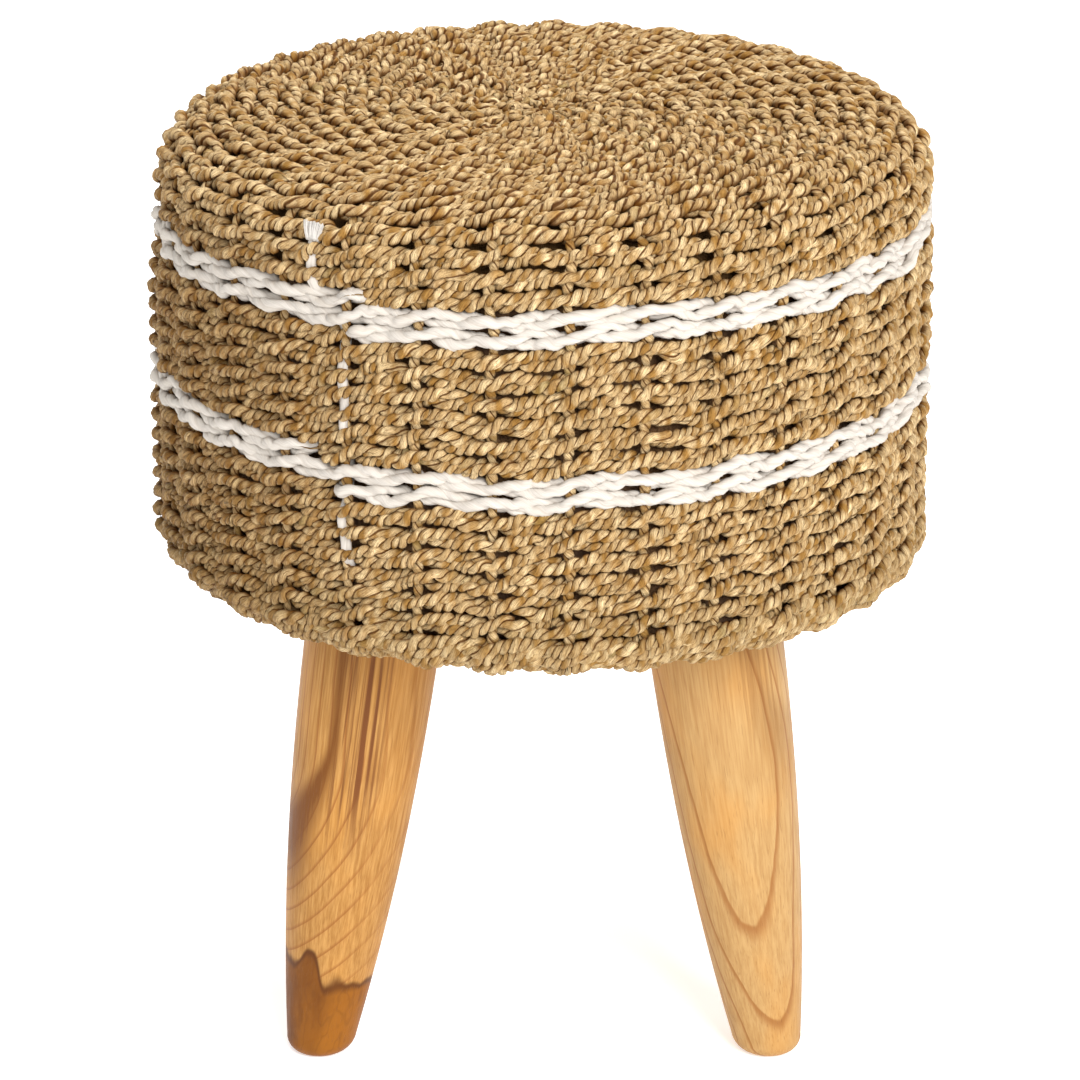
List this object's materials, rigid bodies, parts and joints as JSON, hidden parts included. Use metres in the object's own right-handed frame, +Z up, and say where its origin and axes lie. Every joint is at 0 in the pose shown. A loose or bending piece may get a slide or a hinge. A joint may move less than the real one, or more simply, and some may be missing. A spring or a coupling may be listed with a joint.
{
  "type": "woven drum stool",
  "caption": "Round padded drum seat covered in twined seagrass cord with white bands, on splayed tapered teak legs.",
  "frame": {"origin": "on the floor under the middle of the seat", "axes": "+Z up through the seat; -Y is the front, between the two front legs; +X to the right seen from the front"},
  "size_m": [0.376, 0.376, 0.45],
  "materials": {
    "seagrass": "matt twisted seagrass cord, straw to tan with brown grooves",
    "white_cord": "matt bleached twisted cord, off-white",
    "teak": "sanded and thinly oiled teak with growth rings and brown heartwood",
    "plywood": "raw plywood",
    "hardboard": "dark olive brown hardboard sheet, matt",
    "softwood": "planed softwood",
    "foam": "dark felted foam",
    "screw_steel": "zinc-plated steel"
  },
  "bodies": {
    "root": {"centre_weave": "seagrass", "crown_weave": "seagrass", "shoulder_weave": "seagrass", "upper_white_band": "white_cord", "middle_weave": "seagrass", "lower_white_band": "white_cord", "lower_weave": "seagrass", "hem_weave": "seagrass", "warp_cords": "seagrass", "white_carried_cord": "white_cord", "foam_pad": "foam", "top_board": "plywood", "base_board": "plywood", "drum_wall": "hardboard", "front_post": "softwood", "right_post": "softwood", "back_post": "softwood", "left_post": "softwood", "front_post_lower_screw": "screw_steel", "front_post_upper_screw": "screw_steel", "right_post_lower_screw": "screw_steel", "right_post_upper_screw": "screw_steel", "back_post_lower_screw": "screw_steel", "back_post_upper_screw": "screw_steel", "left_post_lower_screw": "screw_steel", "left_post_upper_screw": "screw_steel", "front_left_leg": "teak", "front_right_leg": "teak", "back_left_leg": "teak", "back_right_leg": "teak", "front_left_leg_wedge": "softwood", "front_right_leg_wedge": "softwood", "back_left_leg_wedge": "softwood", "back_right_leg_wedge": "softwood", "front_left_leg_screw": "screw_steel", "front_right_leg_screw": "screw_steel", "back_left_leg_screw": "screw_steel", "back_right_leg_screw": "screw_steel", "front_left_leg_washer": "screw_steel", "front_right_leg_washer": "screw_steel", "back_left_leg_washer": "screw_steel", "back_right_leg_washer": "screw_steel", "front_left_leg_dowel": "softwood", "front_right_leg_dowel": "softwood", "back_left_leg_dowel": "softwood", "back_right_leg_dowel": "softwood"}
  },
  "joints": []
}
